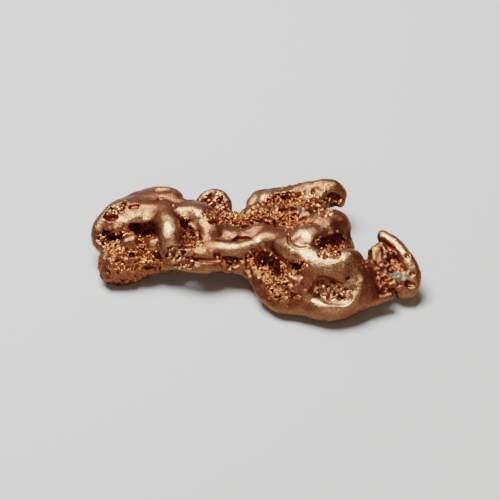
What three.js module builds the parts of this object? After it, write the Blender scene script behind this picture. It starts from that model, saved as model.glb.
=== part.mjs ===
// Native copper nugget: one solid lump of grown copper, about 65 mm long. Worn, rounded ridges run over
// a rough crystalline heart and bridge from a left lobe to a belly on the right; a curled back lobe,
// a small knob and a tall hooked horn stand up from it. Millimetres, +Z up, resting on z = 0.
//
// The solid is the zero surface of a distance field. Every ridge is a round bar of changing radius
// carried along a smooth path; bars run into each other with a fillet, hollows are cut out of them,
// and the field is turned into triangles cell by cell.
import * as THREE from 'three';
import { edgeTable, triTable } from 'three/addons/objects/MarchingCubes.js';
import { mergeVertices } from 'three/addons/utils/BufferGeometryUtils.js';

// ---- driving dimensions (mm) ----
const CELL = 1.15;          // side of a grid cell: the facets are about this size
const BOARD_LEAN = 45;      // degrees: the drawing board that the ridges are laid out on leans back this far
const RIDGE_FILLET = 1.6;   // how far one ridge runs into the next
const HEART_FILLET = 2.0;   // the same for the bars of the heart
const SKIN_FILLET = 1.0;    // between ridges and heart
const HOLLOW_FILLET = 0.7;  // round at the lip of a hollow
const PATH_STEPS = 4;       // straight pieces between two points of a path
const FLAT_DEPTH = 0.35;    // the feet are worn flat: this much of them is pressed onto the ground plane
const EDGE_SHARE = 0.12;    // a corner keeps at least this share of a cell edge from the grid point
const FAR = 6;              // a distance that nothing reaches
const BOX = new THREE.Box3(new THREE.Vector3(-36, -20, -2.4), new THREE.Vector3(36, 20, 15));

// Each point is [across, up, height, radius]. Across and up are measured on the drawing board, which
// faces the front and leans back, so they are what the eye sees; height is above the ground.
const RIDGES = {
  leftRoll: [[-31.2, 5.2, 5.6, 1.2], [-31, 7, 6.8, 1.6], [-29.6, 9.2, 7.6, 2.1], [-27.2, 10.9, 7.8, 2.6],
    [-24.4, 11.6, 7.7, 2.7], [-21.6, 12.4, 7.4, 2.9], [-19, 12.7, 7.3, 2.9], [-17, 12.7, 7.5, 2.5]],
  rollBack: [[-27, 11.8, 6.8, 1.7], [-24, 13, 6.7, 1.9], [-21, 14, 6.7, 2.1], [-18.6, 14.4, 6.8, 2.1],
    [-17, 14, 7, 1.9]],
  rollFace: [[-28.8, 9.2, 8, 1.3], [-26.4, 10.4, 8.7, 1.8], [-23.2, 10.9, 8.9, 2], [-20, 11, 9, 2.1],
    [-17.2, 10.8, 9.2, 2]],
  archLip: [[-28, 7.2, 7.6, 0.9], [-27, 8.6, 8.5, 0.9], [-24.8, 9.5, 9, 1], [-22.4, 9.7, 9.2, 1.1],
    [-20, 9.6, 9.3, 1.1], [-18.6, 9.2, 9.5, 1.3]],
  thumb: [[-18.2, 11, 9.2, 1.7], [-17.6, 9.6, 9.8, 2], [-17, 8.2, 10, 2.3], [-16.8, 6.6, 9.7, 2.4],
    [-16.8, 5.3, 9.1, 2.1], [-17.1, 4.5, 8.5, 1.6]],
  thumbTail: [[-17.8, 4.8, 8, 0.9], [-18, 3.2, 6.8, 0.9], [-17.8, 1.6, 5.6, 0.9], [-17, 0.6, 4.8, 0.9]],
  backShoulder: [[-16.6, 13.4, 8.8, 1.6], [-14.6, 12.6, 9, 1.4], [-12.4, 12.1, 9.2, 1.4],
    [-10.4, 11.4, 9.2, 1.4], [-8.8, 10.4, 8.9, 1.2], [-7.8, 9.6, 8.5, 0.9]],
  brightPatch: [[-14.4, 11, 9.8, 1.5], [-12.6, 10.8, 9.8, 1.8], [-11, 10, 9.8, 1.8]],
  saddle: [[-10.6, 10.4, 9.4, 1.8], [-9.6, 8.8, 9, 2], [-9.2, 7, 8.5, 2], [-9.6, 5, 7.6, 1.8],
    [-10.4, 3.4, 6.8, 1.7]],
  middleTop: [[-9, 7.2, 8.3, 1.7], [-6.6, 6.6, 7.8, 1.8], [-4, 5.6, 7.3, 1.8], [-1.6, 5.6, 7.2, 1.8],
    [0.6, 6.4, 7.5, 1.9], [2.2, 6, 7.8, 1.7]],
  middleBackEdge: [[-7.6, 8.8, 8.7, 0.9], [-5.8, 8, 8.1, 0.9], [-4, 7.2, 7.8, 0.9], [-1.8, 6.9, 7.9, 0.9],
    [0, 7.6, 8.2, 1], [1.6, 7.9, 8.4, 1], [2.6, 7.2, 8.3, 1]],
  crest: [[-10.6, 3.2, 7.4, 1.7], [-8.4, 3.6, 7.7, 1.7], [-5.8, 3.6, 7.8, 1.7], [-3, 3.6, 7.8, 1.7],
    [-0.2, 4.3, 7.9, 1.6], [2.2, 5.3, 8.1, 1.4]],
  lowBulb: [[-10.8, 0.9, 6, 1.5], [-9, 0.8, 6.1, 1.7], [-7.2, 0.9, 6, 1.5]],
  underRim: [[-18.4, 0.2, 4.9, 0.9], [-15.8, 0.3, 5.4, 0.9], [-13.8, 0, 5.8, 0.9], [-11.6, -0.1, 5.9, 1],
    [-10, 0.2, 5.9, 1.2]],
  knobRim: [[-11, 13.4, 7.6, 0.9], [-10, 14.5, 7.8, 0.9], [-8.6, 15.1, 7.8, 0.9], [-7.2, 15, 7.6, 0.9],
    [-6, 14.1, 7.2, 0.9], [-5.4, 12.8, 6.6, 0.9], [-5.6, 11.5, 6, 0.9], [-6.2, 10.8, 5.8, 0.9]],
  rightRim: [[-1.5, 10.8, 6, 0.9], [-0.8, 12.8, 6.6, 0.9], [0.2, 14.4, 7, 0.9], [1.6, 15.1, 7.2, 0.9],
    [3.4, 15.3, 7.4, 0.9], [5.8, 15.7, 7.7, 0.9], [8.4, 16, 8, 0.9], [10.2, 15.9, 8.4, 1]],
  flap: [[1.2, 11.4, 6.6, 0.9], [1.4, 13, 7.3, 1.1], [2.2, 14.2, 7.7, 1.1], [3.2, 14.8, 7.7, 0.9],
    [4, 14.4, 7.7, 0.9]],
  ballHook: [[9.8, 15.6, 8.4, 1.1], [11.6, 16.1, 8.6, 1.3], [13.6, 16.3, 8.7, 1.6], [15.4, 16, 8.7, 1.8],
    [16.8, 15.2, 8.4, 1.5], [17.5, 14.1, 7.6, 0.9], [17.3, 13, 6.8, 0.9]],
  upperRidge: [[10, 5.9, 10.8, 1.5], [11.6, 6.5, 11, 1.5], [13.2, 7.4, 11.2, 1.5], [15, 8.2, 11, 1.4],
    [16.8, 8.5, 10.5, 1.3], [18, 8, 9.6, 1], [18.2, 7, 8.6, 0.9], [18.2, 5.4, 7.6, 0.9], [18, 4, 7, 0.9]],
  upperRidgeBack: [[9.8, 7.6, 10.6, 1.6], [11.6, 8.6, 11, 1.7], [13.4, 9.4, 11.2, 1.8],
    [15.2, 9.9, 11, 1.8], [16.8, 9.6, 10.4, 1.5]],
  wye: [[3.2, 5.4, 8.4, 1.3], [5, 4.5, 9.2, 1.7], [7.2, 3.3, 9.8, 2.1], [9.4, 2.4, 10, 2.4],
    [11.4, 1.4, 10, 2.5], [13.4, 0.6, 9.8, 2.5], [15.8, 0.2, 9.5, 2.4], [17.8, 0.6, 9.3, 2.2],
    [19, 1.2, 9, 1.8]],
  nose: [[8, 5.6, 10, 1.7], [9.6, 6, 10.5, 1.9], [11, 6.2, 10.8, 1.7]],
  wyeLink: [[9.6, 4, 10.3, 1.6], [10.8, 4.8, 10.6, 1.5], [11.6, 5.8, 10.8, 1.2]],
  wyeTop: [[4, 6, 8.6, 1.2], [5.6, 5.9, 9, 1.2], [7, 5, 9.4, 1.3]],
  shoulder: [[17.8, 1.6, 9.8, 2], [19, 1.2, 9.2, 1.9], [19.4, 0, 8.4, 1.8], [20, -1.6, 7.6, 1.9],
    [20.4, -3.6, 6.4, 2.1], [19.8, -5.6, 5, 2.2], [18, -7, 4.2, 2.2], [15.4, -7.8, 3.8, 2.2],
    [12.6, -7.4, 3.9, 2], [10.6, -6.4, 4.4, 1.5]],
  bellyBand: [[9.8, -0.8, 8.4, 1], [9.6, -2.6, 7.2, 1.4], [9.4, -4.6, 5.8, 1.6], [9.2, -6.6, 4, 1.6]],
  underRidge: [[10.8, -0.4, 9.2, 1.2], [13, -1, 9.2, 1.4], [15.4, -1.4, 8.8, 1.5], [17.6, -1.5, 8.4, 1.3]],
  bellyRim: [[1.8, -5, 3.2, 1.2], [3.2, -6.5, 2.9, 1.3], [5, -7.5, 2.7, 1.3], [7.4, -7.8, 2.7, 1.3],
    [10, -8.3, 2.7, 1.3], [12.6, -8.8, 2.7, 1.3], [15.2, -8.8, 2.8, 1.3], [17.8, -8.2, 3, 1.3],
    [20.6, -7.2, 3.4, 1.2], [23.6, -6.3, 3.8, 1], [26.6, -5.5, 4.1, 0.9]],
  leftEdge: [[-3.4, -0.1, 4.8, 0.9], [-2, -0.9, 4.6, 0.9], [-0.6, -2.2, 4.2, 0.9], [0.6, -3.8, 3.7, 0.9],
    [1.8, -5.4, 3.2, 1.1]],
  armFlank: [[21.4, -0.8, 6.4, 1.2], [21.8, -2.8, 5.4, 1.6], [21.8, -5, 4.2, 1.6]],
  hookRim: [[28.6, -5.1, 3, 0.9], [30.4, -4.7, 3.2, 1.2], [31.4, -3.2, 4.2, 1.2], [31.3, -1.1, 5.6, 1.3],
    [30.3, 1.2, 6.8, 1.4], [28.8, 3.4, 7.8, 1.4], [27.1, 5.2, 8.5, 1.3], [25.6, 6.3, 8.8, 1.1]],
  hookTip: [[25.1, 6.8, 8.9, 0.9], [24.8, 6, 8.6, 0.9]],
  ball: [[-20.3, 4.8, 8.7, 1.1]],
  lump: [[-25.3, 5.1, 8.2, 1.2], [-24.1, 5.5, 8.5, 1.3]],
};

const HEART = {
  leftFront: [[-27, 0, 3.3, 2.6], [-24, 0.4, 3.5, 2.6], [-21, 1, 4, 2.4]],
  leftMass: [[-27.4, 1.2, 4.4, 3], [-24, 1.8, 4.5, 3.3], [-20.6, 2.8, 5.4, 3.3], [-17, 3.2, 6.3, 2.8],
    [-13.4, 3.2, 6.9, 2.5], [-10.4, 2.8, 6.8, 2]],
  leftFoot: [[-28.2, -0.8, 2.5, 2.3], [-27, 0.2, 3.6, 2.9]],
  leftInside: [[-29, 6, 5.2, 1.8], [-26, 7.2, 6, 3], [-22, 8, 6.2, 3.4], [-18, 8.4, 6.4, 3.4],
    [-14, 8.4, 6.8, 3.2], [-11, 7.6, 6.6, 2.6]],
  middle: [[-12, 6.4, 7, 2.3], [-8, 5.8, 6.9, 2.1], [-4, 5.2, 6.7, 2], [0, 5.4, 6.7, 2.2],
    [4, 5.2, 6.9, 2.5]],
  ledge: [[-6.6, 0.2, 5, 0.9], [-4.6, 0.2, 5.2, 0.9], [-2.6, 0.6, 5.3, 1.2]],
  knob: [[-9.4, 12.8, 6.6, 1.8], [-7.8, 13.2, 6.8, 1.8], [-6.6, 12.4, 6.2, 1.6]],
  valley: [[-9.4, 10.4, 6.2, 1.8], [-6, 9, 5.8, 2.2], [-2, 9.2, 5.6, 2.4], [1.4, 9.8, 5.8, 2.8],
    [6, 9.8, 6, 3], [9.6, 10.2, 6.6, 3]],
  rightBack: [[0.4, 12.2, 4.8, 2.2], [3.4, 12.6, 5.2, 2.8], [7.4, 13, 5.6, 3], [11.4, 13.2, 6.6, 3.2],
    [13.4, 14, 7.2, 2.8]],
  centre: [[7, 5.6, 7, 3], [11.4, 5.4, 7.9, 3.2], [15, 4.6, 8, 3.2], [17.4, 4.8, 6.6, 2.2]],
  pitFloor: [[-1, 0.8, 5, 1.5], [0.8, -1, 4.6, 1.9], [2.6, -2.6, 4.2, 2.4], [4.6, -2.6, 3.9, 2.8]],
  pitBack: [[-1, 1.2, 5, 1.7], [1.8, 1.2, 4.9, 2.4], [5, 1.2, 4.6, 3], [8, 0.8, 5.6, 3.2]],
  belly: [[4.2, -4.2, 4.1, 2.8], [7.4, -3.8, 4.7, 3.7], [12.2, -3.2, 4.5, 4.6], [16.5, -3, 4.6, 4.3],
    [20.2, -3.2, 4.8, 2.8]],
  arm: [[20.6, -3.6, 4.6, 2.8], [23.6, -3.4, 4.2, 2.2], [26.6, -3.2, 4.2, 1.8], [29.4, -2.6, 4.2, 1.6]],
  hookWeb: [[29.8, -2.4, 4.4, 1.6], [29, -0.4, 5.4, 1.4], [27.8, 1.8, 6.4, 1.3], [26.6, 3.8, 7.4, 1]],
  hookInside: [[24.6, -1.8, 4.2, 1.4], [25.6, 0, 5, 1.2], [26.2, 2, 6, 1]],
  lumps: [[20.6, 0.4, 6.6, 0.9], [21.8, 0.7, 6.2, 0.9], [23, 0.4, 5.6, 0.9]],
  backFoot: [[5, 8, 5, 2.6], [7, 7.4, 3.8, 3], [9, 7, 2.2, 2.4]],
  leftEnd: [[-30.2, 4.6, 5, 1.3], [-29.4, 3, 4.4, 1.6]],
  ballWeb: [[14.8, 14.4, 7.4, 1.3], [16.3, 13.9, 7, 1.1]],
  hornWall: [[24.2, 3.8, 7.2, 0.9], [24.2, 1.8, 6, 1], [24.4, -0.6, 4.8, 1.2], [24.6, -1.8, 4.2, 1.4]],
};

// Each point is [across, up, depth, radius]: depth is how far the centre lies under the skin that is
// seen at that place on the board.
const HOLLOWS = {
  cavityA: [[-30.4, 6.4, 0.6, 0.9], [-28.8, 6.6, 0.8, 1.2], [-27, 6, 0.6, 0.8]],
  cavityB: [[-24.2, 8, 0.2, 1], [-22.4, 7.6, 0.8, 1.6], [-20.2, 7.8, 1, 1.7]],
  cavityC: [[-13.8, 8.8, 0.2, 1], [-13.4, 7, 0.8, 1.4], [-12.6, 5.2, 0.4, 1.2]],
  cup: [[-16, 2.8, -0.6, 1.2], [-14.6, 2.2, -0.7, 1.7], [-13.8, 1.4, -0.6, 1.3]],
  knobCup: [[-9.4, 13.8, -0.2, 0.8], [-7.8, 13.8, -0.3, 1], [-7.2, 12.6, -0.4, 1.1],
    [-8.2, 12.2, -0.4, 0.9]],
  slot: [[-4.6, 5.4, 0, 0.8], [-3.4, 5.7, 0.3, 0.8], [-2, 5.8, 0.3, 0.8], [-1, 5.9, 0.1, 0.8]],
  pitE: [[1.2, 1.6, 0.1, 1.5], [3, 0.6, 0.7, 1.8], [4, -0.8, 0.7, 1.7], [4.6, -2, 0.4, 1.3]],
  pitD: [[13.4, 4.9, 0, 1.2], [15.2, 5.2, 0.4, 1.3], [16.6, 5.8, 0.7, 1.1], [17, 4.6, 0.7, 1]],
  darkSlot: [[5.2, 11.5, 0.3, 0.8], [6.6, 11.6, 0.9, 0.8], [8.2, 11.6, 0.7, 0.8]],
  ballHollow: [[15.4, 14.5, 0.1, 0.8], [16.4, 14, 0.1, 0.8]],
  oval: [[12.8, -3.8, -2.6, 2.7], [15, -4.4, -2.8, 2.9], [17.2, -5, -2.6, 2.6]],
  hookRecess: [[25.6, 4.9, 0.2, 0.8], [26.4, 4.2, 0.3, 0.8], [27.2, 3.8, 0.2, 0.8]],
};

// ---- the drawing board ----
const lean = THREE.MathUtils.degToRad(BOARD_LEAN);
const across = new THREE.Vector3(1, 0, 0);
const upBoard = new THREE.Vector3(0, Math.sin(lean), Math.cos(lean));
const offBoard = new THREE.Vector3(0, -Math.cos(lean), Math.sin(lean));

function atHeight([u, v, height]) {
  const y = (v - height * Math.cos(lean)) / Math.sin(lean);
  return new THREE.Vector3(u, y, height);
}

// Smooth minimum: the two surfaces meet in a fillet about as wide as the given reach.
function blend(a, b, reach) {
  const overlap = Math.max(reach - Math.abs(a - b), 0) / reach;
  return Math.min(a, b) - overlap * overlap * reach / 4;
}

// A bar is a list of straight tapered pieces along a smooth curve through its points.
function makeBar(points, radii) {
  const curve = new THREE.CatmullRomCurve3(points, false, 'catmullrom', 0.5);
  const spans = points.length - 1;
  const steps = spans * PATH_STEPS;
  const pieces = [];
  const reach = new THREE.Box3();
  for (let i = 0; i < steps; i++) {
    const [s, t] = [i / steps, (i + 1) / steps];
    const start = curve.getPoint(s);
    const end = curve.getPoint(t);
    const startRadius = radiusAt(radii, s * spans);
    const taper = radiusAt(radii, t * spans) - startRadius;
    const along = end.clone().sub(start);
    pieces.push({ start, along, lengthSq: along.lengthSq(), startRadius, taper });
    reach.expandByPoint(start);
    reach.expandByPoint(end);
  }
  reach.expandByScalar(Math.max(...radii) + FAR / 2);
  return { pieces, reach };
}

function radiusAt(radii, place) {
  const i = Math.min(Math.floor(place), radii.length - 2);
  return THREE.MathUtils.lerp(radii[i], radii[i + 1], place - i);
}

const offset = new THREE.Vector3();

function barDistance(bar, point) {
  if (!bar.reach.containsPoint(point)) {
    return FAR;
  }
  let nearest = FAR;
  for (const piece of bar.pieces) {
    offset.copy(point).sub(piece.start);
    const t = THREE.MathUtils.clamp(offset.dot(piece.along) / piece.lengthSq, 0, 1);
    const distance = offset.addScaledVector(piece.along, -t).length() - piece.startRadius - t * piece.taper;
    nearest = Math.min(nearest, distance);
  }
  return nearest;
}

function groupDistance(bars, point, fillet) {
  return bars.reduce((distance, bar) => blend(distance, barDistance(bar, point), fillet), FAR);
}

const barsOf = (group) => Object.values(group).map((path) => makeBar(path.map(atHeight), path.map((p) => p[3])));
const ridges = barsOf(RIDGES);
const heart = barsOf(HEART);

function skinDistance(point) {
  const ridge = groupDistance(ridges, point, RIDGE_FILLET);
  return blend(ridge, groupDistance(heart, point, HEART_FILLET), SKIN_FILLET);
}

// A hollow's centre: go in along the board's normal until the skin is met, then down by its depth.
function underSkin([u, v, depth]) {
  const point = across.clone().multiplyScalar(u).addScaledVector(upBoard, v).addScaledVector(offBoard, 20);
  const step = 0.1;
  while (skinDistance(point) > 0) {
    point.addScaledVector(offBoard, -step);
  }
  return point.addScaledVector(offBoard, -depth);
}

const hollows = Object.values(HOLLOWS).map((path) => makeBar(path.map(underSkin), path.map((p) => p[3])));

function fieldAt(point) {
  return -blend(-skinDistance(point), groupDistance(hollows, point, HOLLOW_FILLET), HOLLOW_FILLET);
}

// ---- marching cubes ----
// The corners of a cell and the pairs of corners that its twelve edges join, in the order of the tables.
const CORNERS = [[0, 0, 0], [1, 0, 0], [1, 1, 0], [0, 1, 0], [0, 0, 1], [1, 0, 1], [1, 1, 1], [0, 1, 1]];
const EDGES = [[0, 1], [1, 2], [2, 3], [3, 0], [4, 5], [5, 6], [6, 7], [7, 4], [0, 4], [1, 5], [2, 6], [3, 7]];

function solidFromField() {
  const size = BOX.getSize(new THREE.Vector3()).divideScalar(CELL).ceil();
  const [nx, ny, nz] = size.toArray().map((n) => n + 1);
  const values = new Float32Array(nx * ny * nz);
  const index = (i, j, k) => i + nx * (j + ny * k);
  const place = (i, j, k) => new THREE.Vector3(i, j, k).multiplyScalar(CELL).add(BOX.min);
  for (let k = 0; k < nz; k++) {
    for (let j = 0; j < ny; j++) {
      for (let i = 0; i < nx; i++) {
        values[index(i, j, k)] = fieldAt(place(i, j, k));
      }
    }
  }
  const positions = [];
  for (let k = 0; k < nz - 1; k++) {
    for (let j = 0; j < ny - 1; j++) {
      for (let i = 0; i < nx - 1; i++) {
        addCell(positions, values, index, place, i, j, k);
      }
    }
  }
  return positions;
}

function addCell(positions, values, index, place, i, j, k) {
  const corner = CORNERS.map(([a, b, c]) => values[index(i + a, j + b, k + c)]);
  const kind = corner.reduce((bits, value, n) => bits | (value > 0 ? 1 << n : 0), 0);
  if (edgeTable[kind] === 0) {
    return;
  }
  for (let n = kind * 16; triTable[n] !== -1; n++) {
    const [a, b] = EDGES[triTable[n]];
    const share = corner[a] / (corner[a] - corner[b]);
    const start = place(i + CORNERS[a][0], j + CORNERS[a][1], k + CORNERS[a][2]);
    const end = place(i + CORNERS[b][0], j + CORNERS[b][1], k + CORNERS[b][2]);
    start.lerp(end, THREE.MathUtils.clamp(share, EDGE_SHARE, 1 - EDGE_SHARE));
    positions.push(start.x, start.y, Math.max(start.z, FLAT_DEPTH) - FLAT_DEPTH);
  }
}

// ---- the nugget: its origin is under the middle of its box, on the ground ----
const geometry = new THREE.BufferGeometry();
geometry.setAttribute('position', new THREE.Float32BufferAttribute(solidFromField(), 3));
const merged = mergeVertices(geometry, 1e-3);
merged.computeBoundingBox();
const middle = merged.boundingBox.getCenter(new THREE.Vector3());
merged.translate(-middle.x, -middle.y, -merged.boundingBox.min.z);
merged.computeVertexNormals();

const copper = new THREE.MeshStandardMaterial({ color: 0xb06a45, roughness: 0.35, metalness: 1 });
const nugget = new THREE.Mesh(merged, copper);
nugget.name = 'nugget';

const group = new THREE.Group();
group.add(nugget);

export default group;
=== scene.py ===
"""Native copper nugget, about 65 mm long, lying on a pale sheet.

The nugget is the zero surface of a distance field that is worked out on a grid as whole numpy arrays.
Worn ridges are round bars of changing radius carried along smooth paths and run together with fillets;
the heart between them is lumpy and set with crystals; hollows are cut out of both. Lengths are in
millimetres until the mesh is made.
"""

import bpy
import numpy as np
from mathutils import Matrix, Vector


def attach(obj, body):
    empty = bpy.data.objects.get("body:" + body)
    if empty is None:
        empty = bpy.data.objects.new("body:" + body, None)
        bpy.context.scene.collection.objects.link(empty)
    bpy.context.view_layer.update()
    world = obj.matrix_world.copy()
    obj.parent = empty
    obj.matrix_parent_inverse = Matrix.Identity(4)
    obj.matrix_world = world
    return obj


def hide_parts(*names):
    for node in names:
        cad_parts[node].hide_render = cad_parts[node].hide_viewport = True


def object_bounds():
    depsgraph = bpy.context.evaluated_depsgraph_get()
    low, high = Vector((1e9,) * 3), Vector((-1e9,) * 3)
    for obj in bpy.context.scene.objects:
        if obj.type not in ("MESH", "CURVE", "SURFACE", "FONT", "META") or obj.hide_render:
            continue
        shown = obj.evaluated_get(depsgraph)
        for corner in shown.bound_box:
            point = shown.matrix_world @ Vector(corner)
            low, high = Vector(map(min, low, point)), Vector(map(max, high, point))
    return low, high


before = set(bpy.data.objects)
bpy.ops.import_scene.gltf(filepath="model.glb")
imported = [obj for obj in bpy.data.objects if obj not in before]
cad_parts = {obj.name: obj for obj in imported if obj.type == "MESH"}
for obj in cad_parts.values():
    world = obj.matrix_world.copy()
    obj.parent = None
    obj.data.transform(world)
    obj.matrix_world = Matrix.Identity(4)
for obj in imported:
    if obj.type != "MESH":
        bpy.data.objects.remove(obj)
cad_low, cad_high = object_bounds()

MM = 0.001

# ---- the shape's driving dimensions, in mm ----
CELL = 0.2               # side of a grid cell
BOARD_LEAN = 45.0        # degrees: the drawing board that the ridges are laid out on leans back this far
BOX_LOW = np.array([-34.5, -19.0, -0.6])
BOX_HIGH = np.array([34.5, 19.0, 14.4])
FLAT_DEPTH = 0.35        # the feet are worn flat this far up
RIDGE_FILLET = 1.9       # how far one ridge runs into the next
HEART_FILLET = 2.0       # the same for the bars of the heart
SKIN_FILLET = 1.2        # between ridges and heart
HOLLOW_FILLET = 0.5      # round at the lip of a hollow
FILLET_SHARE = 1.4       # but no fillet is more than this many times the bar's own radius
PATH_STEPS = 5           # straight pieces between two points of a path
FAR = 3.0                # a distance that nothing needs to know beyond
TINY = 0.001             # length given to the path of a single round lump
SKIN_DEPTH = 0.25        # crystals are seated this close to the surface
CREVICE_REACH = 1.6      # how far around a point is looked at to tell a crevice from a crest
CRYSTAL_CORNERS = 1.6    # a crystal's |x| + |y| + |z| stays under this many times its size
CRYSTAL_REACH = 1.9      # no crystal reaches further than this many times its size
CRYSTAL_BATCH = 400      # crystals worked out at once

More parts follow.
